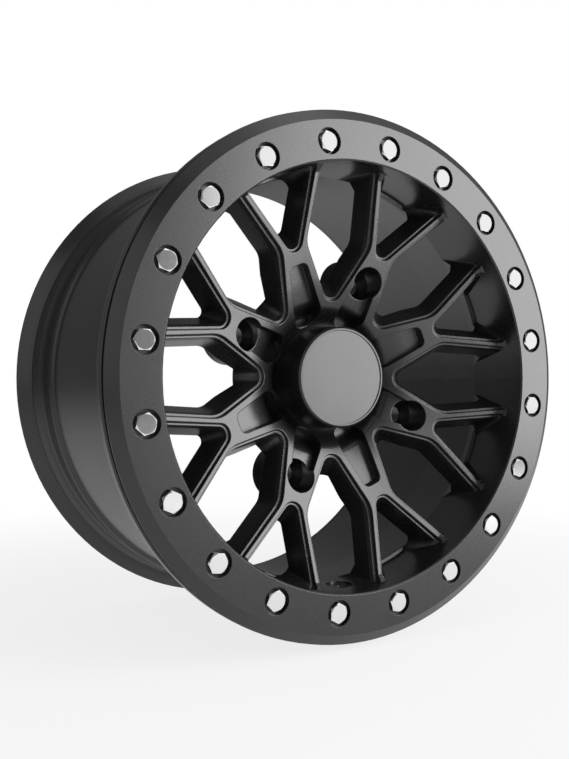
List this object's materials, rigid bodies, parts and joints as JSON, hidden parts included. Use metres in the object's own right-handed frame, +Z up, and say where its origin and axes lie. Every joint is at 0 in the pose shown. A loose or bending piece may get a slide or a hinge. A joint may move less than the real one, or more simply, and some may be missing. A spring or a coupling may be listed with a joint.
{
  "type": "beadlock wheel",
  "caption": "Cast off-road beadlock wheel with split Y spokes, a bolted clamping ring round the outboard edge and a tall plain centre cap; holds a tyre on a vehicle's hub.",
  "frame": {"origin": "on the wheel's axis, in the plane of the four pads that seat on the vehicle's hub", "axes": "+Y along the axis towards the vehicle, so the outboard face looks along -Y; +Z up; +X to the right as seen from the outboard side"},
  "size_m": [0.3868, 0.2185, 0.3868],
  "materials": {
    "casting": "satin black coating over cast aluminium",
    "ring": "satin black coating over turned aluminium",
    "bolts": "bright plated steel",
    "cap": "satin black moulding"
  },
  "bodies": {
    "root": {"wheel_casting": "casting", "beadlock_ring": "ring", "beadlock_bolts": "bolts", "centre_cap": "cap"}
  },
  "joints": []
}
